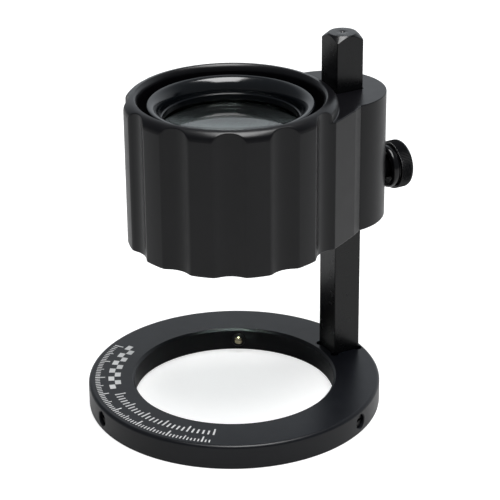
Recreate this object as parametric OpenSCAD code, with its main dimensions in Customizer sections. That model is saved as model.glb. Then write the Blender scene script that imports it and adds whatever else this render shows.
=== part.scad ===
// Stand magnifier: a fluted lens head slides on a square post that stands on a flat ring base.
// Origin: centre of the ring at its underside. +X runs from the ring centre to the post, +Z is up.

/* [Base ring] */
// Outer radius of the ring
base_r = 40; // [30:0.5:60]
// Thickness of the ring
base_t = 6.8; // [5:0.1:12]
// Radius of the viewing hole
hole_r = 27.4; // [20:0.1:45]
// Rounding of the top outer edge
base_round = 0.9; // [0.3:0.1:2]
// Chamfer on the hole's top edge
hole_top_ch = 0.6; // [0.1:0.05:1]
// Chamfer on the hole's bottom edge
hole_bot_ch = 0.7; // [0.2:0.1:1.5]
// Depth of the square pocket for the post
pocket_d = 4.2; // [3:0.1:6]
// Radius of the pocket's corner reliefs
relief_r = 1.15; // [0.6:0.05:2]

/* [Post] */
// Distance from the ring centre to the post
post_x = 34; // [30:0.1:50]
// Width across the post's flats
post_w = 8.1; // [5:0.1:12]
// Height of the post's top above the table
post_top = 99.7; // [80:0.5:160]
// Radius of the flat left on the turned top
post_flat_r = 3.7; // [2:0.05:5]
// Height of the turned top
post_cone = 1.75; // [1:0.1:6]

/* [Ball plungers] */
// Radius of the plunger's thread
plunger_r = 2; // [1.5:0.1:3]
// Turn of the three plungers about the ring, measured from the post
plunger_turn = -1.7; // [-10:0.1:10]
// Height of the plungers above the table
plunger_z = 3.4; // [2:0.1:6]
// Distance from the ring centre to the plunger's nose
plunger_in = 26.6; // [25:0.1:40]
// Distance from the ring centre to the plunger's slotted end
plunger_out = 39.1; // [30:0.1:50]
// Radius of the ball
ball_r = 1.45; // [1:0.05:2]
// Distance from the ring centre to the ball's centre
ball_x = 27.46; // [26:0.05:40]

/* [Lens head] */
// Underside of the head above the table
head_z0 = 48.8; // [20:0.1:80]
// Top of the rim above the table
head_z1 = 88.3; // [60:0.1:140]
// Outer radius of the head over the lands
head_r = 28; // [20:0.1:45]
// Radius of the top bore
bore_r = 24.2; // [18:0.1:40]
// Width of the rim's outer rounding
rim_w = 2.8; // [0.5:0.1:3]
// Height of the rim's outer rounding
rim_h = 2.6; // [0.5:0.1:3]
// Width of the rim's inner rounding
bore_w = 1.35; // [0.5:0.05:3]
// Height of the rim's inner rounding
bore_h = 2; // [0.5:0.1:3]
// Floor of the top bore above the table
bore_z = 78.5; // [70:0.1:100]
// Radius of the round flute cutter
flute_r = 6.85; // [4:0.05:15]
// Distance from the head's axis to the flute cutter's axis
flute_x = 33.4; // [25:0.05:60]
// Top of the arm above the table
arm_z1 = 84.4; // [60:0.1:120]
// Radius of the arm's round end
arm_r = 15.1; // [8:0.05:25]
// Distance from the head's axis to the arm's round end centre
arm_x = 30.25; // [25:0.1:50]
// Play on each side of the post in the arm
post_play = 0.1; // [0.05:0.01:0.3]

/* [Lenses] */
// Outer radius of the lens cell
cell_r = 22; // [15:0.1:30]
// Top of the cell's lip above the table
cell_z1 = 86.3; // [70:0.1:110]
// How far the lens cell's lip rolls in over the opening
lip_w = 3.1; // [0.5:0.05:4]
// How deep the lip's roll reaches below its top
lip_h = 4; // [0.5:0.1:5]
// Bottom of the cell above the table
cell_z0 = 57; // [40:0.1:80]
// Radius of both lenses
lens_r = 19.7; // [10:0.1:30]
// Thickness of each lens at its edge
lens_edge = 2; // [1:0.1:5]
// Height of the upper lens's top edge above the table
lens_top = 79.7; // [60:0.1:100]
// Height of the lower lens's top edge above the table
lens_low = 70.7; // [50:0.1:90]
// Radius of curvature of the outward faces
curve_out = 147; // [60:1:400]
// Radius of curvature of the inward faces
curve_in = 110; // [60:1:400]

/* [Clamp screw] */
// Height of the clamp screw above the table
clamp_z = 58.55; // [52:0.1:80]
// Radius of the clamp screw's shank
shank_r = 2.45; // [1.5:0.05:4]
// Radius of the knurled head
knob_r = 6.65; // [4:0.05:12]
// Distance from the ring centre to the knob's inner lip
knob_x = 47.5; // [46:0.1:60]

/* [Hidden] */
$fn = 96;
eps = 0.01;
half = post_w / 2;
slot = post_w + 2 * post_play;
sag_out = curve_out - sqrt(curve_out * curve_out - lens_r * lens_r);
sag_in = curve_in - sqrt(curve_in * curve_in - lens_r * lens_r);

// Points of a quarter or smaller arc, from angle a0 to a1, about (x, y)
function arc(x, y, r, a0, a1, n = 6) = [for (i = [0:n]) let (a = a0 + (a1 - a0) * i / n)
  [x + r * cos(a), y + r * sin(a)]];

// Points of a shallow dome from the axis out to radius r1, bulging by its sagitta
function dome(z, curve, r1, up, n = 8) = [for (i = [0:n]) let (r = r1 * i / n)
  [r, z - up * (curve - sqrt(curve * curve - r * r))]];

function rev(v) = [for (i = [len(v) - 1:-1:0]) v[i]];

// A plunger site: local +X points outwards along the plunger
module at_plunger(i) {
  rotate([0, 0, [180, 60, -60][i] + plunger_turn])
    translate([0, 0, plunger_z])
      children();
}

module along_x(x) {
  translate([x, 0, 0])
    rotate([0, 90, 0])
      children();
}

module square_bar(w, c, z0, z1) {
  h = w / 2;
  translate([post_x, 0, z0])
    linear_extrude(height = z1 - z0)
      polygon([[h, -h + c], [h, h - c], [h - c, h], [-h + c, h],
        [-h, h - c], [-h, -h + c], [-h + c, -h], [h - c, -h]]);
}

module base_ring() {
  color([0.03, 0.03, 0.035])
    difference() {
      rotate_extrude($fn = 180)
        polygon(concat(
          [[hole_r + hole_bot_ch, 0], [base_r - 0.4, 0]],
          arc(base_r - 0.4, 0.4, 0.4, -60, 0, 2),
          arc(base_r - base_round, base_t - base_round, base_round, 0, 90, 6),
          [[hole_r + hole_top_ch, base_t], [hole_r, base_t - hole_top_ch], [hole_r, hole_bot_ch]]));
      square_bar(post_w + 0.1, 0.02, base_t - pocket_d, base_t + 1);
      for (sx = [-1, 1], sy = [-1, 1])
        translate([post_x + sx * (half - 0.25), sy * (half - 0.25), base_t - pocket_d])
          cylinder(r = relief_r, h = pocket_d + 1, $fn = 32);
      translate([post_x, 0, -1])
        cylinder(r = 2.2, h = base_t, $fn = 40);
      translate([post_x, 0, -eps])
        cylinder(r1 = 3.95, r2 = 2.2, h = 1.85, $fn = 40);
      for (i = [0:2])
        at_plunger(i)
          along_x(hole_r - 2)
            cylinder(r = plunger_r, h = base_r - hole_r + 4, $fn = 40);
    }
}

module post() {
  color([0.03, 0.03, 0.035])
    difference() {
      square_bar(post_w, 0.2, base_t - pocket_d, post_top);
      // turned top: everything outside a steep cone is cut away
      translate([post_x, 0, 0])
        rotate_extrude($fn = 96)
          polygon([[post_flat_r, post_top + eps], [post_flat_r, post_top],
            [half * 1.415, post_top - post_cone], [half * 2, post_top - post_cone],
            [half * 2, post_top + eps]]);
      // small centre mark
      translate([post_x, 0, post_top - 0.5])
        cylinder(r1 = 0.05, r2 = 0.7, h = 0.51, $fn = 24);
      // tapped hole for the screw from below
      translate([post_x, 0, base_t - pocket_d - eps])
        cylinder(r = 2, h = 9, $fn = 40);
    }
}

module post_screw() {
  color([0.12, 0.12, 0.13])
    difference() {
      translate([post_x, 0, 0])
        rotate_extrude($fn = 40)
          polygon([[0, 0.2], [3.45, 0.2], [3.5, 0.35], [2, 1.85], [2, 10.2], [1.6, 10.6], [0, 10.6]]);
      translate([post_x, 0, 0.2 - eps])
        cylinder(r = 1.45, h = 1.5, $fn = 6);
    }
}

module plunger_body(i) {
  color([0.16, 0.16, 0.17])
    at_plunger(i)
      difference() {
        along_x(0)
          rotate_extrude($fn = 40)
            polygon([[1.33, plunger_in], [1.75, plunger_in], [plunger_r, plunger_in + 0.25],
              [plunger_r, plunger_out - 0.25], [1.75, plunger_out], [0, plunger_out],
              [0, 35], [1.52, 35], [1.52, plunger_in + 0.3], [1.33, plunger_in + 0.25]]);
        translate([plunger_out - 1, -3, -0.4])
          cube([2, 6, 0.8]);
      }
}

module plunger_spring(i) {
  turns = 6;
  pitch = (34.95 - ball_x - ball_r - 0.04) / turns;
  color([0.6, 0.6, 0.62])
    at_plunger(i)
      along_x(ball_x + ball_r + 0.04)
        rotate_extrude($fn = 32)
          polygon(concat([[1.15, 0.15]],
            [for (k = [0:turns - 1]) each [[1.35, (k + 0.35) * pitch], [1.15, (k + 0.85) * pitch]]],
            [for (k = [turns - 1:-1:0]) each [[0.8, (k + 0.85) * pitch], [1.0, (k + 0.35) * pitch]]],
            [[0.8, 0.15]]));
}

module plunger_ball(i) {
  color([0.83, 0.62, 0.28])
    at_plunger(i)
      translate([ball_x, 0, 0])
        sphere(r = ball_r, $fn = 48);
}

module arm_plan() {
  polygon([[15.5, -23.8], [27.4, -17.35], [28.6, -16.5], [arm_x, -arm_r - 0.3], [arm_x + 0.8, -arm_r + 1],
    [arm_x + 0.8, arm_r - 1], [arm_x, arm_r + 0.3], [28.6, 16.5], [27.4, 17.35], [15.5, 23.8], [8, 0]]);
}

module barrel() {
  color([0.035, 0.035, 0.04])
    difference() {
      union() {
        rotate_extrude($fn = 180)
          polygon(concat(
            [[cell_r, head_z0 + 5.6], [23.2, head_z0 + 5.6], [23.2, head_z0 + 0.4], [23.6, head_z0],
              [head_r - 0.4, head_z0], [head_r, head_z0 + 0.4]],
            [for (t = [0:15:90]) [head_r - rim_w + rim_w * cos(t), head_z1 - rim_h + rim_h * sin(t)]],
            [for (t = [11.25:11.25:90]) [bore_r + bore_w * (1 - sin(t)), head_z1 - bore_h * (1 - cos(t))]],
            [[bore_r, bore_z], [cell_r, bore_z]]));
        difference() {
          union() {
            translate([0, 0, head_z0 + 0.3])
              linear_extrude(height = arm_z1 - head_z0 - 0.3)
                arm_plan();
            translate([arm_x, 0, 0])
              rotate_extrude($fn = 120)
                polygon([[0, head_z0], [arm_r - 0.4, head_z0], [arm_r, head_z0 + 0.4],
                  [arm_r, arm_z1 - 0.3], [arm_r - 0.3, arm_z1], [0, arm_z1]]);
          }
          translate([0, 0, head_z0 - 1])
            cylinder(r = bore_r + 2, h = 50, $fn = 120);
        }
      }
      for (a = [60:30:300])
        rotate([0, 0, a])
          translate([flute_x, 0, head_z0 - 1])
            cylinder(r = flute_r, h = head_z1 - head_z0 + 2, $fn = 96);
      translate([post_x - slot / 2, -slot / 2, head_z0 - 1])
        cube([slot, slot, 50]);
      along_x(post_x)
        translate([-clamp_z, 0, 0])
          cylinder(r = shank_r + 0.05, h = 14, $fn = 48);
    }
}

module lens_cell() {
  color([0.02, 0.022, 0.03])
    rotate_extrude($fn = 144)
      polygon(concat(
        [[lens_r + 0.1, cell_z0], [cell_r - 0.3, cell_z0], [cell_r, cell_z0 + 0.3]],
        arc(cell_r - 0.5, cell_z1 - 0.5, 0.5, 0, 90, 4),
        [for (t = [10:10:90]) [cell_r - 0.5 - lip_w * sin(t), cell_z1 - lip_h + lip_h * cos(t)]],
        [[18.38, 82.25], [17.95, 82.15], [17.95, lens_top + 0.9], [18.6, lens_top + 0.25],
          [lens_r + 0.1, lens_top + 0.2]]));
}

module lens(z_top, c_top, c_bot, s_top, s_bot) {
  rotate_extrude($fn = 96)
    polygon(concat(dome(z_top + s_top, c_top, lens_r, 1),
      rev(dome(z_top - lens_edge - s_bot, c_bot, lens_r, -1))));
}

module upper_lens() {
  color([0.8, 0.9, 0.88, 0.35])
    lens(lens_top, curve_out, curve_in, sag_out, sag_in);
}

module lower_lens() {
  color([0.8, 0.9, 0.88, 0.35])
    lens(lens_low, curve_in, curve_out, sag_in, sag_out);
}

module lens_spacer() {
  color([0.03, 0.03, 0.03])
    rotate_extrude($fn = 96)
      polygon([[18.4, lens_low + 0.25], [lens_r, lens_low + 0.25], [lens_r, lens_top - lens_edge - 0.25],
        [18.4, lens_top - lens_edge - 0.25]]);
}

module retaining_ring() {
  color([0.03, 0.03, 0.03])
    difference() {
      rotate_extrude($fn = 96)
        polygon([[17.3, 64.6], [lens_r + 0.1, 64.6], [lens_r + 0.1, lens_low - lens_edge - 0.22],
          [18.9, lens_low - lens_edge - 0.22], [18.9, 66.1], [17.3, 65]]);
      for (a = [0, 180])
        rotate([0, 0, a])
          translate([17, -0.75, 64.3])
            cube([5, 1.5, 1.1]);
    }
}

module clamp_pad() {
  color([0.83, 0.62, 0.28])
    translate([0, 0, clamp_z])
      along_x(0)
        rotate_extrude($fn = 40)
          polygon([[0, post_x + half + 0.1], [1.8, post_x + half + 0.1], [2, post_x + half + 0.3],
            [2, post_x + half + 1.1], [0.87, post_x + half + 1.1], [0.87, post_x + half + 2.6],
            [0, post_x + half + 2.6]]);
}

module clamp_screw() {
  color([0.05, 0.05, 0.055])
    translate([0, 0, clamp_z])
      along_x(0)
        rotate_extrude($fn = 96)
          polygon(concat(
            [[0, post_x + half + 2.8], [0.95, post_x + half + 2.8], [0.95, post_x + half + 1.15],
              [2.1, post_x + half + 1.15], [shank_r, post_x + half + 1.5],
              [shank_r, arm_x + arm_r + 0.45], [3.2, arm_x + arm_r + 0.75],
              [3.2, knob_x + 1.1], [3.7, knob_x + 1.1],
              [3.8, knob_x + 0.8], [4.2, knob_x + 0.8], [4.3, knob_x + 0.5], [4.65, knob_x + 0.5],
              [4.75, knob_x + 0.05]],
            arc(5, knob_x + 1, 1, -90, 0, 6),
            [[6, knob_x + 1.75], [5.65, knob_x + 1.85], [5.65, knob_x + 2.25],
              [knob_r - 0.1, knob_x + 2.35], [knob_r, knob_x + 2.5], [knob_r, knob_x + 5.4]],
            arc(knob_r - 0.9, knob_x + 5.4, 0.9, 15, 90, 5),
            [[1.2, knob_x + 6.3], [0.9, knob_x + 6.1], [0, knob_x + 6.1]]));
}

base_ring();
post();
post_screw();
plunger_body(0);  // plunger_body_1
plunger_body(1);  // plunger_body_2
plunger_body(2);  // plunger_body_3
plunger_spring(0);  // plunger_spring_1
plunger_spring(1);  // plunger_spring_2
plunger_spring(2);  // plunger_spring_3
plunger_ball(0);  // plunger_ball_1
plunger_ball(1);  // plunger_ball_2
plunger_ball(2);  // plunger_ball_3
barrel();
lens_cell();
upper_lens();
lens_spacer();
lower_lens();
retaining_ring();
clamp_pad();
clamp_screw();
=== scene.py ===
import math

import bmesh
import bpy
from mathutils import Matrix, Vector


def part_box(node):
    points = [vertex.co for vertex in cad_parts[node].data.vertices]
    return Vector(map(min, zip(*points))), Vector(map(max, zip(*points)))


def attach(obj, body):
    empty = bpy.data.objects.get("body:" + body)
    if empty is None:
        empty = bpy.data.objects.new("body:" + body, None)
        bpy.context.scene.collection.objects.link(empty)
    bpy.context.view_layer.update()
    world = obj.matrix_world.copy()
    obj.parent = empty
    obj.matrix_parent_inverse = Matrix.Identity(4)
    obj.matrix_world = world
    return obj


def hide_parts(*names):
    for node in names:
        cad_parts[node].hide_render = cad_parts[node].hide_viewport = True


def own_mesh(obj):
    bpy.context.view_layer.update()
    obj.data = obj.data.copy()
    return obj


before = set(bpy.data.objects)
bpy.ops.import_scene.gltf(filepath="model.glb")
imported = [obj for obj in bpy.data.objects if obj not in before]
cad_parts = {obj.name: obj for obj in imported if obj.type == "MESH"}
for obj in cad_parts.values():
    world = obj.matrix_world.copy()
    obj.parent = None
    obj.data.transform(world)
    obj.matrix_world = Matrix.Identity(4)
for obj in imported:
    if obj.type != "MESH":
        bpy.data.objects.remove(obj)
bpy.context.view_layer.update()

MM = 0.001
TAU = math.tau
SCENE = bpy.context.scene


# ---------------------------------------------------------------- meshes

def mesh_object(name, verts, faces, weld=1.0e-6):
    """A closed mesh from points in millimetres, welded, with its normals outwards."""
    mesh = bpy.data.meshes.new(name)
    mesh.from_pydata([Vector(v) * MM for v in verts], [], faces)
    bm = bmesh.new()
    bm.from_mesh(mesh)
    bmesh.ops.remove_doubles(bm, verts=bm.verts, dist=weld)
    bmesh.ops.recalc_face_normals(bm, faces=bm.faces)
    if bm.calc_volume(signed=True) < 0:
        bmesh.ops.reverse_faces(bm, faces=bm.faces)
    bm.to_mesh(mesh)
    bm.free()
    obj = bpy.data.objects.new(name, mesh)
    SCENE.collection.objects.link(obj)
    return obj


def shade(obj, angle=30):
    """Smooth faces, with the edges sharper than the angle kept sharp."""
    mesh = obj.data
    mesh.polygons.foreach_set("use_smooth", [True] * len(mesh.polygons))
    mesh.set_sharp_from_angle(angle=math.radians(angle))
    normals = obj.modifiers.new("flat_faces_stay_flat", "WEIGHTED_NORMAL")
    normals.keep_sharp = True
    normals.weight = 100


def carve(obj, *cutters):
    """Takes the cutters away from obj, and removes them."""
    for cutter in cutters:
        cut = obj.modifiers.new("cut", "BOOLEAN")
        cut.operation = "DIFFERENCE"
        cut.solver = "EXACT"
        cut.object = cutter
    bpy.context.view_layer.update()
    cut_mesh = bpy.data.meshes.new_from_object(obj.evaluated_get(bpy.context.evaluated_depsgraph_get()))
    obj.modifiers.clear()
    old = obj.data
    obj.data = cut_mesh
    bpy.data.meshes.remove(old)
    for cutter in cutters:
        bpy.data.objects.remove(cutter)


def grid(columns):
    """Vertices and faces of a ring of columns, each a closed loop of points."""
    verts = [p for column in columns for p in column]
    n, m = len(columns), len(columns[0])
    faces = []
    for i in range(n):
        for j in range(m):
            a, b = i * m + j, i * m + (j + 1) % m
            c, d = ((i + 1) % n) * m + (j + 1) % m, ((i + 1) % n) * m + j
            faces.append((a, d, c, b))
    return verts, faces


def revolved(name, columns, profile):
    """A closed mesh of placed columns, without the faces that run along the axis and so have no area."""
    verts, faces = grid(columns)
    axis = {j for j, (r, h) in enumerate(profile) if r < 1e-9}
    return mesh_object(name, verts, [f for f in faces if not {v % len(profile) for v in f} <= axis])


def upright(x, y):
    """Places (radius, height, turn) about a vertical axis."""
    return lambda r, h, t: (x + r * math.cos(t), y + r * math.sin(t), h)


def lying(turn, z):
    """Places (radius, distance, turn) about a level axis that leaves the Z axis at this turn and height."""
    c, s = math.cos(turn), math.sin(turn)
    return lambda r, h, t: (h * c - r * math.sin(t) * s, h * s + r * math.sin(t) * c, z + r * math.cos(t))


def turned(name, profile, place, n=96):
    """A solid of revolution. The profile is a closed loop of (radius, height)."""
    columns = [[place(r, h, TAU * i / n) for r, h in profile] for i in range(n)]
    return revolved(name, columns, profile)


BOX_FACES = [(3, 2, 1, 0), (4, 5, 6, 7), (0, 1, 5, 4), (1, 2, 6, 5), (2, 3, 7, 6), (3, 0, 4, 7)]


def prism(name, outline, levels):
    """A loft of one (x, y, nx, ny) outline through (height, growth) levels, with flat ends."""
    n = len(outline)
    verts = [(x + g * nx, y + g * ny, z) for z, g in levels for x, y, nx, ny in outline]
    faces = [tuple(range(n - 1, -1, -1)), tuple(range((len(levels) - 1) * n, len(levels) * n))]
    for k in range(len(levels) - 1):
        for i in range(n):
            j = (i + 1) % n
            faces.append((k * n + i, k * n + j, (k + 1) * n + j, (k + 1) * n + i))
    return mesh_object(name, verts, faces)


def arc(x, y, r, start, end, n=6):
    """Points of an arc about (x, y), with the angles in degrees."""
    angles = [math.radians(start + (end - start) * i / n) for i in range(n + 1)]
    return [(x + r * math.cos(a), y + r * math.sin(a)) for a in angles]


def rounded(points, radii, n=4):
    """A closed outline with its own fillet radius at each of its corners."""
    out = []
    count = len(points)
    for i in range(count):
        p, q, s = (Vector(points[(i + k) % count]) for k in (-1, 0, 1))
        r = radii[i]
        a, b = p - q, s - q
        if r <= 0 or a.length < 1e-9 or b.length < 1e-9:
            out.append(tuple(q))
            continue
        a.normalize()
        b.normalize()
        half = math.acos(max(-1, min(1, a.dot(b)))) / 2
        if half > math.radians(89.5):
            out.append(tuple(q))
            continue
        reach = min(r / math.tan(half), 0.49 * (p - q).length, 0.49 * (s - q).length)
        r = reach * math.tan(half)
        centre = q + (a + b).normalized() * (r / math.sin(half))
        u = q + a * reach - centre
        v = q + b * reach - centre
        sweep = math.atan2(u.x * v.y - u.y * v.x, u.dot(v))
        for k in range(n + 1):
            t = sweep * k / n
            out.append((centre.x + u.x * math.cos(t) - u.y * math.sin(t),
                        centre.y + u.x * math.sin(t) + u.y * math.cos(t)))
    return out


CORNERS = ((1, 1), (-1, 1), (-1, -1), (1, -1))


def square_outline(cx, cy, half, r, n=4):
    """A square with rounded corners, as (x, y, nx, ny) with outward directions."""
    out = []
    for k, (sx, sy) in enumerate(CORNERS):
        for i in range(n + 1):
            a = math.radians(90 * k + 90 * i / n)
            nx, ny = math.cos(a), math.sin(a)
            out.append((cx + sx * (half - r) + r * nx, cy + sy * (half - r) + r * ny, nx, ny))
    return out


def circle_outline(cx, cy, r, n=48):
    """A circle or a regular polygon, as (x, y, nx, ny) with outward directions."""
    return [(cx + r * math.cos(TAU * i / n), cy + r * math.sin(TAU * i / n),
             math.cos(TAU * i / n), math.sin(TAU * i / n)) for i in range(n)]


def threaded(name, profile, place, thread, n=32):
    """A turned solid whose profile points on the crest follow a (start, end, crest, depth, pitch) thread."""
    start, end, crest, depth, pitch = thread
    columns = []
    for i in range(n):
        t = TAU * i / n
        column = []
        for r, h in profile:
            if r == crest and start <= h <= end:
                phase = (h / pitch - i / n) % 1.0
                cut = depth * min(1.0, 1.9 * abs(phase - 0.5))
                fade = min(1.0, (h - start) / pitch + 0.05, (end - h) / pitch + 0.05)
                r = crest - (depth - cut) * fade
            column.append(place(r, h, t))
        columns.append(column)
    return revolved(name, columns, profile)


def steps(start, end, size):
    """Evenly spaced values from start to end, about size apart."""
    count = max(1, round(abs(end - start) / size))
    return [start + (end - start) * i / count for i in range(count + 1)]


def piece(obj, body, node, material, angle=30):
    """Finishes a piece: shading, material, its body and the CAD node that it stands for."""
    shade(obj, angle)
    obj.data.materials.clear()
    obj.data.materials.append(material)
    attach(obj, body)
    if node:
        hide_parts(node)


# ---------------------------------------------------------------- materials

def new_material(name):
    """A new material with its tree, its main shader and its object coordinates."""
    material = bpy.data.materials.new(name)
    material.use_nodes = True
    tree = material.node_tree
    shader = tree.nodes["Principled BSDF"]
    place = tree.nodes.new("ShaderNodeTexCoord")
    return material, tree, shader, place.outputs["Object"]


def noise(tree, vector, scale, detail=2.0, rough=0.5):
    """The output of a noise texture of the given scale."""
    node = tree.nodes.new("ShaderNodeTexNoise")
    node.inputs["Scale"].default_value = scale
    node.inputs["Detail"].default_value = detail
    node.inputs["Roughness"].default_value = rough
    tree.links.new(vector, node.inputs["Vector"])
    return node.outputs["Fac"]


def remap(tree, value, low, high, start=0.3, end=0.7):
    """Values from start to end, stretched to run from low to high."""
    node = tree.nodes.new("ShaderNodeMapRange")
    node.inputs["From Min"].default_value = start
    node.inputs["From Max"].default_value = end
    node.inputs["To Min"].default_value = low
    node.inputs["To Max"].default_value = high
    tree.links.new(value, node.inputs["Value"])
    return node.outputs["Result"]


def tint(tree, value, dark, light):
    """A colour between dark and light."""
    node = tree.nodes.new("ShaderNodeMix")
    node.data_type = "RGBA"
    node.inputs["A"].default_value = (*dark, 1)
    node.inputs["B"].default_value = (*light, 1)
    tree.links.new(value, node.inputs["Factor"])
    return node.outputs["Result"]


def bump(tree, height, distance, under=None):
    """A normal bent by a height of the given distance, on top of the normal under it."""
    node = tree.nodes.new("ShaderNodeBump")
    node.inputs["Distance"].default_value = distance
    node.inputs["Strength"].default_value = 1.0
    tree.links.new(height, node.inputs["Height"])
    if under is not None:
        tree.links.new(under, node.inputs["Normal"])
    return node.outputs["Normal"]


def radius_from(tree, vector, x=0.0):
    """Distance from the vertical axis at x, in metres."""
    shift = tree.nodes.new("ShaderNodeVectorMath")
    shift.operation = "MULTIPLY_ADD"
    shift.inputs[1].default_value = (1, 1, 0)
    shift.inputs[2].default_value = (-x, 0, 0)
    tree.links.new(vector, shift.inputs[0])
    length = tree.nodes.new("ShaderNodeVectorMath")
    length.operation = "LENGTH"
    tree.links.new(shift.outputs["Vector"], length.inputs[0])
    return length.outputs["Value"]


ROUGH_SPREAD = 0.025


def anodised(name, dark, light, rough, specular, grain, lathe=None):
    """Dyed anodised aluminium: blasted grain, cloudy dye, and turning marks about x = lathe where given."""
    material, tree, shader, place = new_material(name)
    cloud = noise(tree, place, 90, 4, 0.6)
    tree.links.new(tint(tree, remap(tree, cloud, 0, 1), dark, light), shader.inputs["Base Color"])
    patch = noise(tree, place, 260, 3, 0.6)
    tree.links.new(remap(tree, patch, rough - ROUGH_SPREAD, rough + ROUGH_SPREAD), shader.inputs["Roughness"])
    shader.inputs["Specular IOR Level"].default_value = specular
    grit = noise(tree, place, 5200, 2, 0.7)
    normal = bump(tree, grit, grain)
    if lathe is not None:
        ring = tree.nodes.new("ShaderNodeTexNoise")
        ring.noise_dimensions = "1D"
        ring.inputs["Scale"].default_value = 5500
        ring.inputs["Detail"].default_value = 1.0
        tree.links.new(radius_from(tree, place, lathe), ring.inputs["W"])
        normal = bump(tree, ring.outputs["Fac"], grain * 0.35, under=normal)
    tree.links.new(normal, shader.inputs["Normal"])
    return material


def metal(name, colour, rough, metallic=1.0, specular=0.5, grain=0.000004):
    """Plain or blackened metal: a faint cloud of colour, smeared roughness and fine grain."""
    material, tree, shader, place = new_material(name)
    cloud = noise(tree, place, 400, 3)
    dark = tuple(c * 0.88 for c in colour)
    tree.links.new(tint(tree, remap(tree, cloud, 0, 1), dark, colour), shader.inputs["Base Color"])
    shader.inputs["Metallic"].default_value = metallic
    shader.inputs["Specular IOR Level"].default_value = specular
    smear = noise(tree, place, 900, 3)
    tree.links.new(remap(tree, smear, rough * 0.85, rough * 1.2), shader.inputs["Roughness"])
    tree.links.new(bump(tree, noise(tree, place, 2500, 2), grain), shader.inputs["Normal"])
    return material


def glass(name, colour):
    """Clear glass with a trace of haze."""
    material, tree, shader, place = new_material(name)
    shader.inputs["Base Color"].default_value = (*colour, 1)
    shader.inputs["Transmission Weight"].default_value = 1.0
    shader.inputs["IOR"].default_value = 1.52
    haze = noise(tree, place, 120, 3)
    tree.links.new(remap(tree, haze, 0.0, 0.012, 0.5, 0.8), shader.inputs["Roughness"])
    return material


BASE_BLACK = anodised("anodised_base_black", (0.0030, 0.0034, 0.0050), (0.0048, 0.0054, 0.0076),
                      0.32, 0.31, grain=0.000004, lathe=0.0)
POST_BLACK = anodised("anodised_post_black", (0.0010, 0.0011, 0.0015), (0.0018, 0.0019, 0.0025),
                      0.26, 0.40, grain=0.000002)
HEAD_BLACK = anodised("anodised_head_black", (0.0014, 0.0013, 0.0020), (0.0026, 0.0024, 0.0034),
                      0.30, 0.34, grain=0.000004)
CELL_BLACK = metal("cell_black_gloss", (0.0022, 0.003, 0.0042), 0.15, 0.0, 0.5, 0.000001)
INNER_BLACK = metal("blackened_inside", (0.003, 0.003, 0.0035), 0.6, 0.0, 0.08)
LOCK_BLACK = metal("blackened_lock_ring", (0.004, 0.004, 0.0045), 0.22, 0.0, 0.45)
KNOB_BLACK = metal("knob_black_oxide", (0.002, 0.002, 0.0025), 0.17, 0.0, 0.38)
SCREW_BLACK = metal("screw_black_oxide", (0.03, 0.03, 0.033), 0.32, 0.7)
PLUNGER_STEEL = metal("plunger_dark_steel", (0.012, 0.012, 0.012), 0.4, 0.2)
SPRING_STEEL = metal("spring_bright_steel", (0.55, 0.56, 0.58), 0.25)
BRASS = metal("ball_brass", (1.0, 0.86, 0.56), 0.14, 1.0, 0.5, 0.0000015)
LENS_GLASS = glass("lens_glass_clear", (0.86, 0.95, 0.92))
MARK_WHITE = metal("mark_off_white", (0.62, 0.62, 0.62), 0.55, 0.0, 0.4)


# ---------------------------------------------------------------- base ring

BASE_R, BASE_T, HOLE_R = 40.0, 6.8, 27.4
POST_X, POST_HALF = 34.0, 4.05
POCKET_Z = 2.6
PLUNGER_Z = 3.4
PLUNGERS = [math.radians(a) for a in (178.3, 58.3, -61.7)]
PLUNGER_R = 2.0
RELIEF_REACH, RELIEF_R = 3.8, 1.15
POCKET_LEVELS = [(POCKET_Z, 0), (BASE_T - 0.12, 0), (BASE_T + 0.3, 0.42)]

ring_profile = (
    [(BASE_R - 0.4, 0.0)]
    + arc(BASE_R - 0.4, 0.4, 0.4, -90, 0, 5)[1:]
    + arc(BASE_R - 0.9, BASE_T - 0.9, 0.9, 0, 90, 8)
    + arc(HOLE_R + 0.72, BASE_T - 0.15, 0.15, 90, 135, 3)
    + arc(HOLE_R + 0.15, BASE_T - 0.72, 0.15, 135, 180, 3)
    + arc(HOLE_R + 0.15, 0.76, 0.15, 180, 225, 3)
    + arc(HOLE_R + 0.76, 0.15, 0.15, 225, 270, 3)
)
ring = turned("base_ring_detailed", ring_profile, upright(0, 0), 192)

pocket = prism("cut_pocket", square_outline(POST_X, 0, POST_HALF + 0.05, 0.05, 2), POCKET_LEVELS)
reliefs = [prism("cut_relief", circle_outline(POST_X + sx * RELIEF_REACH, sy * RELIEF_REACH, RELIEF_R, 32),
                 POCKET_LEVELS)
           for sx in (-1, 1) for sy in (-1, 1)]
sink = prism("cut_sink", circle_outline(POST_X, 0, 2.2, 48),
             [(-0.4, 2.15), (1.85, 0), (POCKET_Z + 0.5, 0)])
holes = []
for turn in PLUNGERS:
    hole = [(0, 25), (PLUNGER_R, 25), (PLUNGER_R, BASE_R - 0.28), (PLUNGER_R + 0.4, BASE_R + 0.12),
            (PLUNGER_R + 0.4, BASE_R + 2), (0, BASE_R + 2)]
    holes.append(turned("cut_plunger", hole, lying(turn, PLUNGER_Z), 48))
carve(ring, pocket, *reliefs, sink, *holes)
piece(ring, "base", "base_ring", BASE_BLACK)


# ---------------------------------------------------------------- scale marks on the ring

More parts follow.
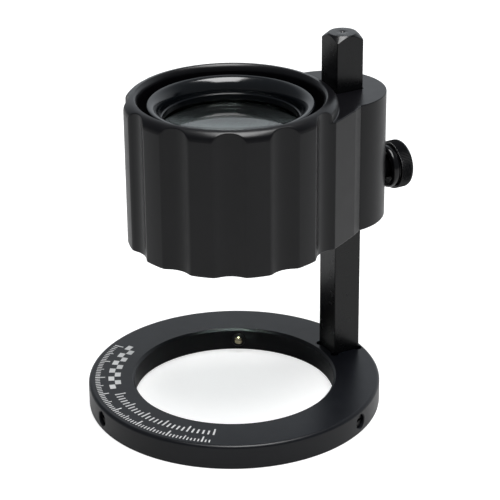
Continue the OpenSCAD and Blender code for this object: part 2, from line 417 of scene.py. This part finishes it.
def sector(r0, r1, a0, a1, low, high):
    """Vertices and faces of a thin curved block between two radii and two angles in degrees."""
    count = max(1, round((a1 - a0) / 1.5))
    loop = ([(r1, a0 + (a1 - a0) * i / count) for i in range(count + 1)]
            + [(r0, a1 - (a1 - a0) * i / count) for i in range(count + 1)])
    n = len(loop)
    verts = [(r * math.cos(math.radians(a)), r * math.sin(math.radians(a)), z)
             for z in (low, high) for r, a in loop]
    faces = [tuple(range(n - 1, -1, -1)), tuple(range(n, 2 * n))]
    faces += [(i, (i + 1) % n, n + (i + 1) % n, n + i) for i in range(n)]
    return verts, faces


def marks(name, blocks):
    """One piece of (inner radius, outer radius, start, end) blocks, a little proud of the ring's top."""
    verts, faces = [], []
    for block in blocks:
        v, f = sector(*block, BASE_T - 0.02, BASE_T + 0.025)
        faces += [tuple(i + len(verts) for i in face) for face in f]
        verts += v
    piece(mesh_object(name, verts, faces, 1e-8), "base", None, MARK_WHITE)


fine = []
for i in range(73):
    centre = 123.0 + 1.5 * i
    length = 2.7 if i % 10 == 0 else 2.0 if i % 5 == 0 else 1.3
    half = 0.33 if i % 10 == 0 else 0.26
    fine.append((38.2 - length, 38.2, centre - half, centre + half))
marks("scale_fine_lines", fine)

bars = []
for i in range(11):
    a = 120.5 + 4.0 * i
    lane = (31.3, 32.9) if i % 2 else (33.0, 34.6)
    bars.append((*lane, a, a + 4.0))
for i in range(26):
    a = 170.5 + 2.45 * i
    height = 3.0 if i % 5 == 0 else 2.0
    bars.append((34.2 - height, 34.2, a - 0.42, a + 0.42))
marks("scale_bars", bars)


# ---------------------------------------------------------------- post

POST_TOP, POST_FLAT_R, CONE_H = 99.7, 3.7, 1.75
CONE_SLOPE = CONE_H / (POST_HALF * 1.415 - POST_FLAT_R)
POST_EDGE_R = 0.22
POST_BEVEL = 0.08


def square_reach(t, half, r):
    """Distance from the middle of a rounded square to its outline, at angle t."""
    t = t % (math.pi / 2)
    t = min(t, math.pi / 2 - t)
    flat = half / math.cos(t)
    if half * math.tan(t) <= half - r:
        return flat
    c = half - r
    along = c * (math.cos(t) + math.sin(t))
    return along + math.sqrt(max(0, along * along - (2 * c * c - r * r)))


def post_column(t):
    """The post's profile at angle t, from its foot up over the turned top and down the screw hole."""
    r = square_reach(t, POST_HALF, POST_EDGE_R)
    z = min(POST_TOP, POST_TOP - (r - POST_FLAT_R) * CONE_SLOPE)
    inner = r - POST_BEVEL
    z_inner = POST_TOP - (inner - POST_FLAT_R) * CONE_SLOPE
    column = [(2.0, POCKET_Z), (r - 0.15, POCKET_Z), (r, POCKET_Z + 0.15)]
    column += [(r, 30.0), (r, 65.0), (r, z - 0.10)]
    for k in range(1, 4):
        s = k / 4
        column.append(((1 - s) ** 2 * r + 2 * s * (1 - s) * r + s * s * inner,
                       (1 - s) ** 2 * (z - 0.10) + 2 * s * (1 - s) * z + s * s * z_inner))
    column += [(inner, z_inner), (POST_FLAT_R + 0.07, POST_TOP - 0.07 * CONE_SLOPE),
               (POST_FLAT_R, POST_TOP - 0.015), (POST_FLAT_R - 0.07, POST_TOP),
               (2.0, POST_TOP), (0.75, POST_TOP), (0.62, POST_TOP - 0.06), (0.12, POST_TOP - 0.45),
               (0.0, POST_TOP - 0.5), (0.0, 12.5), (1.9, 11.4), (2.0, 11.2)]
    return column


at_post = upright(POST_X, 0)
quarter_turns = ([0, 6, 12, 18, 24, 30, 35, 39]
                 + [41.2, 41.9, 42.6, 43.3, 44.1, 45, 45.9, 46.7, 47.4, 48.1, 48.8]
                 + [51, 55, 60, 66, 72, 78, 84])
post_turns = [math.radians(90 * quarter + a) for quarter in range(4) for a in quarter_turns]
post_columns = [[at_post(r, h, t) for r, h in post_column(t)] for t in post_turns]
post = revolved("post_detailed", post_columns, post_column(0))
piece(post, "base", "post", POST_BLACK, 26)

SCREW_R, SCREW_THREAD_Z0, SCREW_THREAD_Z1, SCREW_PITCH = 2.0, 2.0, 10.2, 0.7
HEX_R = 1.45
screw_profile = ([(0, 0.2), (3.45, 0.2), (3.58, 0.26), (3.64, 0.4), (SCREW_R, 1.95)]
                 + [(SCREW_R, h) for h in steps(SCREW_THREAD_Z0, SCREW_THREAD_Z1, 0.1)]
                 + [(1.6, 10.6), (0, 10.6)])
post_screw = threaded("post_screw_detailed", screw_profile, at_post,
                      (SCREW_THREAD_Z0, SCREW_THREAD_Z1, SCREW_R, 0.25, SCREW_PITCH))
hexagon = circle_outline(POST_X, 0, HEX_R, 6)
carve(post_screw, prism("cut_hex", hexagon, [(-0.3, 0.5), (0.3, 0.05), (0.34, 0), (1.7, 0)]))
piece(post_screw, "base", "post_screw", SCREW_BLACK)


# ---------------------------------------------------------------- ball plungers

BALL_R, BALL_X, BALL_TRAVEL = 1.45, 27.46, 0.6
BODY_THREAD_X0, BODY_THREAD_X1, BODY_PITCH = 27.1, 38.7, 0.5
SLOT_HALF, SLOT_REACH = 0.4, 3
SPRING_X0, SPRING_X1, SPRING_TURNS, SPRING_R, WIRE_R = 28.97, 34.93, 6.0, 1.15, 0.17
WIRE_SIDES, WIRE_STATIONS = 10, 260


def plunger_body(number, place):
    """The threaded shell, with the ball's bore inside and the screwdriver slot at its outer end."""
    profile = ([(1.33, 26.6), (1.55, 26.6), (1.72, 26.66), (1.8, 26.8), (PLUNGER_R, 27.0)]
               + [(PLUNGER_R, h) for h in steps(BODY_THREAD_X0, BODY_THREAD_X1, 0.1)]
               + [(1.75, 39.1), (0, 39.1), (0, 35.4), (1.0, 35.0), (1.52, 34.95),
                  (1.52, 26.95), (1.36, 26.7)])
    shell = threaded(f"plunger_body_{number}_detailed", profile, place,
                     (BODY_THREAD_X0, BODY_THREAD_X1, PLUNGER_R, 0.2, BODY_PITCH))
    slot = [place(math.hypot(SLOT_HALF, SLOT_REACH), h, math.atan2(s * SLOT_REACH, u * SLOT_HALF))
            for h in (38.1, 39.6) for s, u in ((1, 1), (1, -1), (-1, -1), (-1, 1))]
    carve(shell, mesh_object("cut_slot", slot, BOX_FACES))
    piece(shell, "base", f"plunger_body_{number}", PLUNGER_STEEL)


def plunger_ball(number, place):
    """The brass ball, which rides on its own body."""
    angles = [math.pi * k / 32 for k in range(33)]
    profile = [(BALL_R * math.sin(a), BALL_X - BALL_R * math.cos(a)) for a in angles]
    profile[0], profile[-1] = (0, profile[0][1]), (0, profile[-1][1])
    ball = turned(f"ball_{number}_detailed", profile, place, 64)
    piece(ball, f"ball_{number}", f"plunger_ball_{number}", BRASS)


def plunger_spring(number, place):
    """A coil of round wire, on a mesh of its own."""
    verts = []
    for i in range(WIRE_STATIONS + 1):
        s = i / WIRE_STATIONS
        h = SPRING_X0 + WIRE_R + (SPRING_X1 - SPRING_X0 - 2 * WIRE_R) * s
        verts += [place(SPRING_R + WIRE_R * math.cos(a), h + WIRE_R * math.sin(a), TAU * SPRING_TURNS * s)
                  for a in [TAU * k / WIRE_SIDES for k in range(WIRE_SIDES)]]
    faces = [tuple(range(WIRE_SIDES - 1, -1, -1)), tuple(range(len(verts) - WIRE_SIDES, len(verts)))]
    for i in range(WIRE_STATIONS):
        for k in range(WIRE_SIDES):
            a, b = i * WIRE_SIDES + k, i * WIRE_SIDES + (k + 1) % WIRE_SIDES
            faces.append((a, b, b + WIRE_SIDES, a + WIRE_SIDES))
    spring = mesh_object(f"plunger_spring_{number}_detailed", verts, faces)
    piece(spring, "base", f"plunger_spring_{number}", SPRING_STEEL, 50)
    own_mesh(spring)


for number, turn in enumerate(PLUNGERS, 1):
    at_plunger = lying(turn, PLUNGER_Z)
    plunger_body(number, at_plunger)
    plunger_ball(number, at_plunger)
    plunger_spring(number, at_plunger)


# ---------------------------------------------------------------- lens head

HEAD_Z0, HEAD_Z1 = (c.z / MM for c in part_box("barrel"))
HEAD_R, BORE_R, CELL_R = 28.0, 24.2, 22.0
RIM_W, RIM_H, BORE_W, BORE_H = 2.8, 2.6, 1.35, 2.0
FLUTE_R, FLUTE_X = 6.85, 33.4
ARM_Z1, ARM_X, ARM_R = 84.4, 30.25, 15.1
BRIDGE = [(8, 27.87), (15.5, 23.8), (27.4, 17.35), (28.6, 16.5), (30.25, 15.4), (31.05, 14.1), (31.7, 10)]
CLAMP_Z = 58.55
FLUTES = [60 + 30 * k for k in range(9)]
FLUTE_BLEND, ARM_BLEND, RIM_BEVEL = 0.7, 0.22, 0.2
FAR = 99.0


def softly_less(a, b, k):
    """The smaller of two lengths, blended where they are close."""
    h = max(k - abs(a - b), 0) / k
    return min(a, b) - h * h * k / 4


def flute_reach(t):
    """Distance from the axis to the nearest flute's wall, or far away where there is none."""
    for flute in FLUTES:
        d = (t - math.radians(flute) + math.pi) % TAU - math.pi
        inside = FLUTE_R ** 2 - (FLUTE_X * math.sin(d)) ** 2
        if abs(d) < math.radians(12) and inside > 0:
            return FLUTE_X * math.cos(d) - math.sqrt(inside)
    return FAR


def arm_reach(t):
    """Distance from the head's axis to the arm's outline."""
    t = abs((t + math.pi) % TAU - math.pi)
    if t > math.radians(60):
        return 0.0
    c, s = math.cos(t), math.sin(t)
    best = 0.0
    inside = ARM_R ** 2 - (ARM_X * s) ** 2
    if inside >= 0 and t < math.radians(29.4):
        best = ARM_X * c + math.sqrt(inside)
    for (x0, y0), (x1, y1) in zip(BRIDGE, BRIDGE[1:]):
        dx, dy = x1 - x0, y1 - y0
        across = c * dy - s * dx
        if abs(across) > 1e-9:
            along = (x0 * dy - y0 * dx) / across
            share = (along * c - x0) / dx
            if 0 <= share <= 1:
                best = max(best, along)
    return best


def rim_height(r):
    """Height of the rim's outer rounding at radius r."""
    q = max(0.0, min(1.0, (r - (HEAD_R - RIM_W)) / RIM_W))
    return HEAD_Z1 - RIM_H + RIM_H * math.sqrt(1 - q * q)


def head_column(t):
    """The head's profile at angle t: up the outer wall, over the arm and the rim, and down the bore."""
    cut = flute_reach(t)
    high = softly_less(HEAD_R, cut, FLUTE_BLEND)
    arm = arm_reach(t)
    low = max(high, softly_less(arm, cut, ARM_BLEND)) if arm > 0 else high
    step = low - high
    foot, edge, neck = 0.35, min(0.28, 0.45 * step), min(0.3, 0.45 * step)

    column = arc(low - foot, HEAD_Z0 + foot, foot, -90, 0, 4)
    column += [(low, 60.0), (low, 72.0)]
    column += arc(low - edge, ARM_Z1 - edge, edge, 0, 90, 4)
    column += [(high + step * k, ARM_Z1) for k in (0.75, 0.5, 0.25)] if step > 0.02 else [(high, ARM_Z1)] * 3
    column += [(high + neck - neck * math.sin(a), ARM_Z1 + neck - neck * math.cos(a))
               for a in [math.radians(30 * k) for k in range(4)]]
    top = min(high, HEAD_R - 0.0005)
    z = rim_height(top)
    inner = top - RIM_BEVEL
    start_z = max(ARM_Z1 + neck + 0.1, z - RIM_BEVEL)
    for k in range(5):
        s = k / 4
        column.append(((1 - s * s) * top + s * s * inner,
                       (1 - s) ** 2 * start_z + 2 * s * (1 - s) * z + s * s * rim_height(inner)))
    q0 = math.asin(min(1, max(0, (inner - (HEAD_R - RIM_W)) / RIM_W)))
    for k in range(1, 9):
        r = HEAD_R - RIM_W + RIM_W * math.sin(q0 * (1 - k / 8))
        column.append((r, rim_height(r)))
    column += [(BORE_R + BORE_W * (1 - math.sin(a)), HEAD_Z1 - BORE_H * (1 - math.cos(a)))
               for a in [math.radians(90 * k / 12) for k in range(1, 13)]]
    column += [(BORE_R, 84.5), (BORE_R, 78.9)] + arc(BORE_R - 0.3, 78.8, 0.3, 0, -90, 3)
    column += [(CELL_R + 0.25, 78.5), (CELL_R, 78.25), (CELL_R, 54.7), (23.1, 54.7), (23.2, 54.6),
               (23.2, HEAD_Z0 + 0.45), (23.35, HEAD_Z0 + 0.12), (23.6, HEAD_Z0)]
    return [(r * math.cos(t), r * math.sin(t), h) for r, h in column]


def head_turns():
    """Column angles: close together at the flutes' edges and the arm's corners, wider between."""
    reach = math.degrees(math.acos((HEAD_R ** 2 + FLUTE_X ** 2 - FLUTE_R ** 2) / (2 * HEAD_R * FLUTE_X)))
    wanted = set()
    for flute in FLUTES:
        for side in (-1, 1):
            wanted.update(round(flute + side * reach + d * 0.26, 4) for d in range(-7, 8))
        wanted.update(round(flute + d * 1.1, 4) for d in range(-6, 7))
        if flute != FLUTES[-1]:
            wanted.update(round(flute + reach + 1.2 + d * 1.24, 4) for d in range(11))
    for d in range(-110, 111):
        wanted.add(round(d * 0.48, 4) % 360)
    for corner in (26.7, 29.98, 32.34, 26.2):
        for side in (-1, 1):
            wanted.update(round(side * (corner + d * 0.12), 4) % 360 for d in range(-3, 4))
    ordered = sorted(wanted)
    kept = [ordered[0]]
    for a in ordered[1:]:
        if a - kept[-1] > 0.05:
            kept.append(a)
    return [math.radians(a) for a in kept]


verts, faces = grid([head_column(t) for t in head_turns()])
barrel = mesh_object("head_barrel_detailed", verts, faces, 3e-6)
way = prism("cut_way", square_outline(POST_X, 0, POST_HALF + 0.1, 0.25, 4),
            [(HEAD_Z0 - 0.3, 0.5), (HEAD_Z0 + 0.2, 0), (ARM_Z1 - 0.2, 0), (ARM_Z1 + 0.3, 0.5)])
bore = turned("cut_clamp", [(0, POST_X), (2.5, POST_X), (2.5, 45.0), (3.0, 45.5), (3.0, 47.0), (0, 47.0)],
              lying(0, CLAMP_Z), 48)
carve(barrel, way, bore)
piece(barrel, "head", "barrel", HEAD_BLACK, 24)

CELL_Z1, CELL_Z0 = 86.3, 57.0
LENS_R, LENS_TOP, LENS_LOW, LENS_EDGE = 19.7, 79.7, 70.7, 2.0
CURVE_OUT, CURVE_IN = 147, 110
LIP_W, LIP_H = 3.1, 4.0
lip_angles = [math.radians(90 * k / 18) for k in range(1, 18)]
ledge = rounded([(18.4, CELL_Z1 - LIP_H), (18.38, 82.25), (17.95, 82.15),
                 (17.95, 80.6), (18.6, 79.95), (19.5, 79.9)],
                [0, 0.05, 0.12, 0.12, 0.1, 0])
cell_profile = (
    [(LENS_R + 0.1, CELL_Z0 + 0.25), (LENS_R + 0.35, CELL_Z0),
     (CELL_R - 0.3, CELL_Z0), (CELL_R, CELL_Z0 + 0.3)]
    + arc(CELL_R - 0.5, CELL_Z1 - 0.5, 0.5, 0, 90, 6)
    + [(CELL_R - 0.5 - LIP_W * math.sin(a), CELL_Z1 - LIP_H + LIP_H * math.cos(a)) for a in lip_angles]
    + ledge
    + [(LENS_R + 0.1, 79.9)]
)
for h in steps(64.2, CELL_Z0 + 0.5, 0.5):
    cell_profile += [(LENS_R + 0.1, h + 0.12), (LENS_R + 0.3, h - 0.12)]
cell = turned("lens_cell_detailed", cell_profile, upright(0, 0), 160)
piece(cell, "head", "lens_cell", CELL_BLACK, 35)


def lens(name, top, curve_top, curve_low, node):
    """A lens with both faces curved outwards, whose upper edge is at height top."""
    sag = [c - math.sqrt(c * c - LENS_R ** 2) for c in (curve_top, curve_low)]
    bevel = 0.12
    radii = [LENS_R * 0.5 * (1 - math.cos(math.pi * k / 28)) for k in range(28)] + [LENS_R - bevel]
    upper = [(r, top + sag[0] - (curve_top - math.sqrt(curve_top ** 2 - r * r))) for r in radii]
    lower = [(r, top - LENS_EDGE - sag[1] + (curve_low - math.sqrt(curve_low ** 2 - r * r))) for r in radii]
    profile = upper + [(LENS_R, top - bevel), (LENS_R, top - LENS_EDGE + bevel)] + lower[::-1]
    piece(turned(name, profile, upright(0, 0), 128), "head", node, LENS_GLASS, 20)


lens("lens_upper_detailed", LENS_TOP, CURVE_OUT, CURVE_IN, "upper_lens")
lens("lens_lower_detailed", LENS_LOW, CURVE_IN, CURVE_OUT, "lower_lens")

spacer_profile = [(18.5, 70.95), (LENS_R - 0.1, 70.95), (LENS_R, 71.05),
                  (LENS_R, 77.35), (LENS_R - 0.1, 77.45), (18.5, 77.45)]
for h in steps(77.2, 71.2, 0.5):
    spacer_profile += [(18.4, h), (18.62, h - 0.22)]
spacer = turned("lens_spacer_detailed", spacer_profile, upright(0, 0), 128)
piece(spacer, "head", "lens_spacer", INNER_BLACK)

lock_profile = [(17.3, 64.72), (17.42, 64.6), (19.65, 64.6), (19.8, 64.75), (19.8, 68.3), (19.65, 68.48),
                (19.0, 68.48), (18.9, 68.38), (18.9, 66.15), (18.82, 66.05), (17.36, 65.04), (17.3, 64.96)]
lock = turned("retaining_ring_detailed", lock_profile, upright(0, 0), 128)
for side in (0, math.pi):
    c, s = math.cos(side), math.sin(side)
    outline = ((17, -0.75), (22, -0.75), (22, 0.75), (17, 0.75))
    corners = [(x * c - y * s, x * s + y * c, z) for z in (64.3, 65.4) for x, y in outline]
    carve(lock, mesh_object("cut_notch", corners, BOX_FACES))
piece(lock, "head", "retaining_ring", LOCK_BLACK)


# ---------------------------------------------------------------- clamp screw

SHANK_R, KNOB_R, KNOB_X = 2.45, 6.65, 47.5
TEETH, TOOTH, GROOVE = 96, 6, 0.16
CLAMP_PITCH, CLAMP_THREAD = 0.8, 0.3
at_clamp = lying(0, CLAMP_Z)

pad_profile = [(0, 38.15), (1.7, 38.15), (1.9, 38.21), (2.0, 38.35), (2.0, 39.05), (1.95, 39.15),
               (0.95, 39.15), (0.87, 39.23), (0.87, 40.5), (0.75, 40.65), (0, 40.65)]
pad = turned("clamp_pad_detailed", pad_profile, at_clamp, 48)
piece(pad, "pad", "clamp_pad", BRASS)


def knob_column(i):
    """The clamp screw's profile at its i-th column: tip, thread, neck and knurled knob."""
    wave = abs((i % TOOTH) / TOOTH - 0.5) * 2
    groove = GROOVE * min(1.0, max(0.0, 1.35 * (1 - wave) - 0.1))
    column = [(0, 40.85), (0.95, 40.85), (0.95, 39.2), (2.1, 39.2), (SHANK_R, 39.55)]
    for h in steps(39.75, 45.65, 0.1):
        phase = (h / CLAMP_PITCH - i / (TEETH * TOOTH)) % 1.0
        column.append((SHANK_R - CLAMP_THREAD * max(0.0, 1 - 1.9 * abs(phase - 0.5)), h))
    column += [(SHANK_R, 45.75), (3.05, 45.95), (3.2, 46.1), (3.2, KNOB_X + 1.1), (3.7, KNOB_X + 1.1),
               (3.8, KNOB_X + 0.8), (4.2, KNOB_X + 0.8), (4.3, KNOB_X + 0.5), (4.65, KNOB_X + 0.5),
               (4.72, KNOB_X + 0.2)]
    column += arc(5.0, KNOB_X + 1.0, 1.0, -106, 0, 14)
    column += [(6.0, KNOB_X + 1.7), (5.95, KNOB_X + 1.8), (5.7, KNOB_X + 1.84), (5.65, KNOB_X + 1.9),
               (5.65, KNOB_X + 2.2), (5.72, KNOB_X + 2.28)]
    bevel = arc(KNOB_R - 0.25, KNOB_X + 2.55, 0.25, -90, 0, 3)
    outer = arc(KNOB_R - 1.1, KNOB_X + 5.2, 1.1, 0, 90, 8)
    depth = [0, 0.3, 0.7, 1.0]
    column += [(r - groove * d, h) for (r, h), d in zip(bevel, depth)]
    column += [(KNOB_R - groove, h) for h in (KNOB_X + 3.5, KNOB_X + 4.5)]
    column += [(r - groove * max(0.0, 1 - k / 3), h) for k, (r, h) in enumerate(outer)]
    column += [(4.2, KNOB_X + 6.3), (4.1, KNOB_X + 6.25), (3.9, KNOB_X + 6.25), (3.8, KNOB_X + 6.3),
               (1.2, KNOB_X + 6.3), (0.9, KNOB_X + 6.12), (0, KNOB_X + 6.1)]
    return column


knob_columns = [[at_clamp(r, h, TAU * i / (TEETH * TOOTH)) for r, h in knob_column(i)]
                for i in range(TEETH * TOOTH)]
knob = revolved("clamp_screw_detailed", knob_columns, knob_column(0))
piece(knob, "screw", "clamp_screw", KNOB_BLACK, 38)


# ---------------------------------------------------------------- camera, floor and light

RIGHT = Vector((0.8712, -0.4909, 0)).normalized()
AWAY = Vector((0.4909, 0.8712, 0)).normalized()
UP = Vector((0, 0, 1))
ELEVATION, ROLL, DISTANCE = math.radians(24.46), math.radians(0.4937), 533.96
FORWARD = AWAY * math.cos(ELEVATION) - UP * math.sin(ELEVATION)
VIEW_UP = AWAY * math.sin(ELEVATION) + UP * math.cos(ELEVATION)
side = RIGHT * math.cos(ROLL) - VIEW_UP * math.sin(ROLL)
top = RIGHT * math.sin(ROLL) + VIEW_UP * math.cos(ROLL)
camera = bpy.data.objects.new("camera", bpy.data.cameras.new("camera"))
SCENE.collection.objects.link(camera)
camera.data.lens = 143.44
camera.data.sensor_width = 36
camera.data.clip_start = 0.01
camera.data.clip_end = 20
# The camera looks at a point 44 mm above the floor and slightly right of the ring's axis, from DISTANCE mm.
where = (RIGHT * 4.673 + UP * 44.218 - FORWARD * DISTANCE) * MM
camera.matrix_world = Matrix.Translation(where) @ Matrix((side, top, -FORWARD)).transposed().to_4x4()
SCENE.camera = camera

FLOOR_HALF = 4
FLOOR_ORDER = ((-1, -1), (1, -1), (1, 1), (-1, 1))
floor_mesh = bpy.data.meshes.new("floor")
floor_mesh.from_pydata([(FLOOR_HALF * x, FLOOR_HALF * y, 0) for x, y in FLOOR_ORDER], [], [(0, 1, 2, 3)])
floor = bpy.data.objects.new("floor", floor_mesh)
SCENE.collection.objects.link(floor)
paint, tree, shader, place = new_material("floor_white")
soft = noise(tree, place, 3, 2)
pale = tint(tree, remap(tree, soft, 0, 1), (0.50, 0.50, 0.50), (0.52, 0.52, 0.52))
tree.links.new(pale, shader.inputs["Base Color"])
shader.inputs["Roughness"].default_value = 0.9
shader.inputs["Specular IOR Level"].default_value = 0.1
# The floor is whitened for camera rays only, so the object's reflections see a pale grey.
ray = tree.nodes.new("ShaderNodeLightPath")
lift = remap(tree, ray.outputs["Is Camera Ray"], 0.0, 0.7, 0.0, 1.0)
shader.inputs["Emission Color"].default_value = (1, 1, 1, 1)
tree.links.new(lift, shader.inputs["Emission Strength"])
floor.data.materials.append(paint)

world = bpy.data.worlds.new("studio")
world.use_nodes = True
SCENE.world = world
wt = world.node_tree
background = wt.nodes["Background"]
coords = wt.nodes.new("ShaderNodeTexCoord")


def facing(direction, low, high, start, end):
    """A world brightness that rises with how far a direction faces this way."""
    dot = wt.nodes.new("ShaderNodeVectorMath")
    dot.operation = "DOT_PRODUCT"
    dot.inputs[1].default_value = direction
    wt.links.new(coords.outputs["Generated"], dot.inputs[0])
    node = wt.nodes.new("ShaderNodeMapRange")
    node.interpolation_type = "SMOOTHSTEP"
    node.inputs["From Min"].default_value = start
    node.inputs["From Max"].default_value = end
    node.inputs["To Min"].default_value = low
    node.inputs["To Max"].default_value = high
    wt.links.new(dot.outputs["Value"], node.inputs["Value"])
    return node.outputs["Result"]


def combine(operation, a, b):
    """The output of one maths node on two values, each a number or a socket."""
    node = wt.nodes.new("ShaderNodeMath")
    node.operation = operation
    for socket, value in zip(node.inputs, (a, b)):
        if isinstance(value, float):
            socket.default_value = value
        else:
            wt.links.new(value, socket)
    return node.outputs["Value"]


behind = facing(tuple((AWAY * 0.93 + RIGHT * 0.37).normalized()), 0.0, 0.69, 0.25, 1.0)
below_lamp = facing((0, 0, 1), 1.0, 0.0, 0.45, 0.85)
wt.links.new(combine("ADD", combine("MULTIPLY", behind, below_lamp), 0.18), background.inputs["Strength"])
background.inputs["Color"].default_value = (0.90, 0.95, 1.0, 1)


# One soft lamp overhead, facing down, with its width along RIGHT and its length along AWAY.
lamp_data = bpy.data.lights.new("overhead", "AREA")
lamp_data.shape = "RECTANGLE"
lamp_data.size = 0.46
lamp_data.size_y = 0.80
lamp_data.energy = 14
lamp = bpy.data.objects.new("overhead", lamp_data)
SCENE.collection.objects.link(lamp)
lamp.location = Vector((0, 0, 0.06)) + UP * 0.9 + RIGHT * 0.09 - AWAY * 0.14
lamp.rotation_mode = "QUATERNION"
lamp.rotation_quaternion = Matrix((RIGHT, AWAY, UP)).transposed().to_quaternion()
lamp.visible_camera = False

SCENE.view_settings.view_transform = "Standard"
SCENE.view_settings.look = "None"
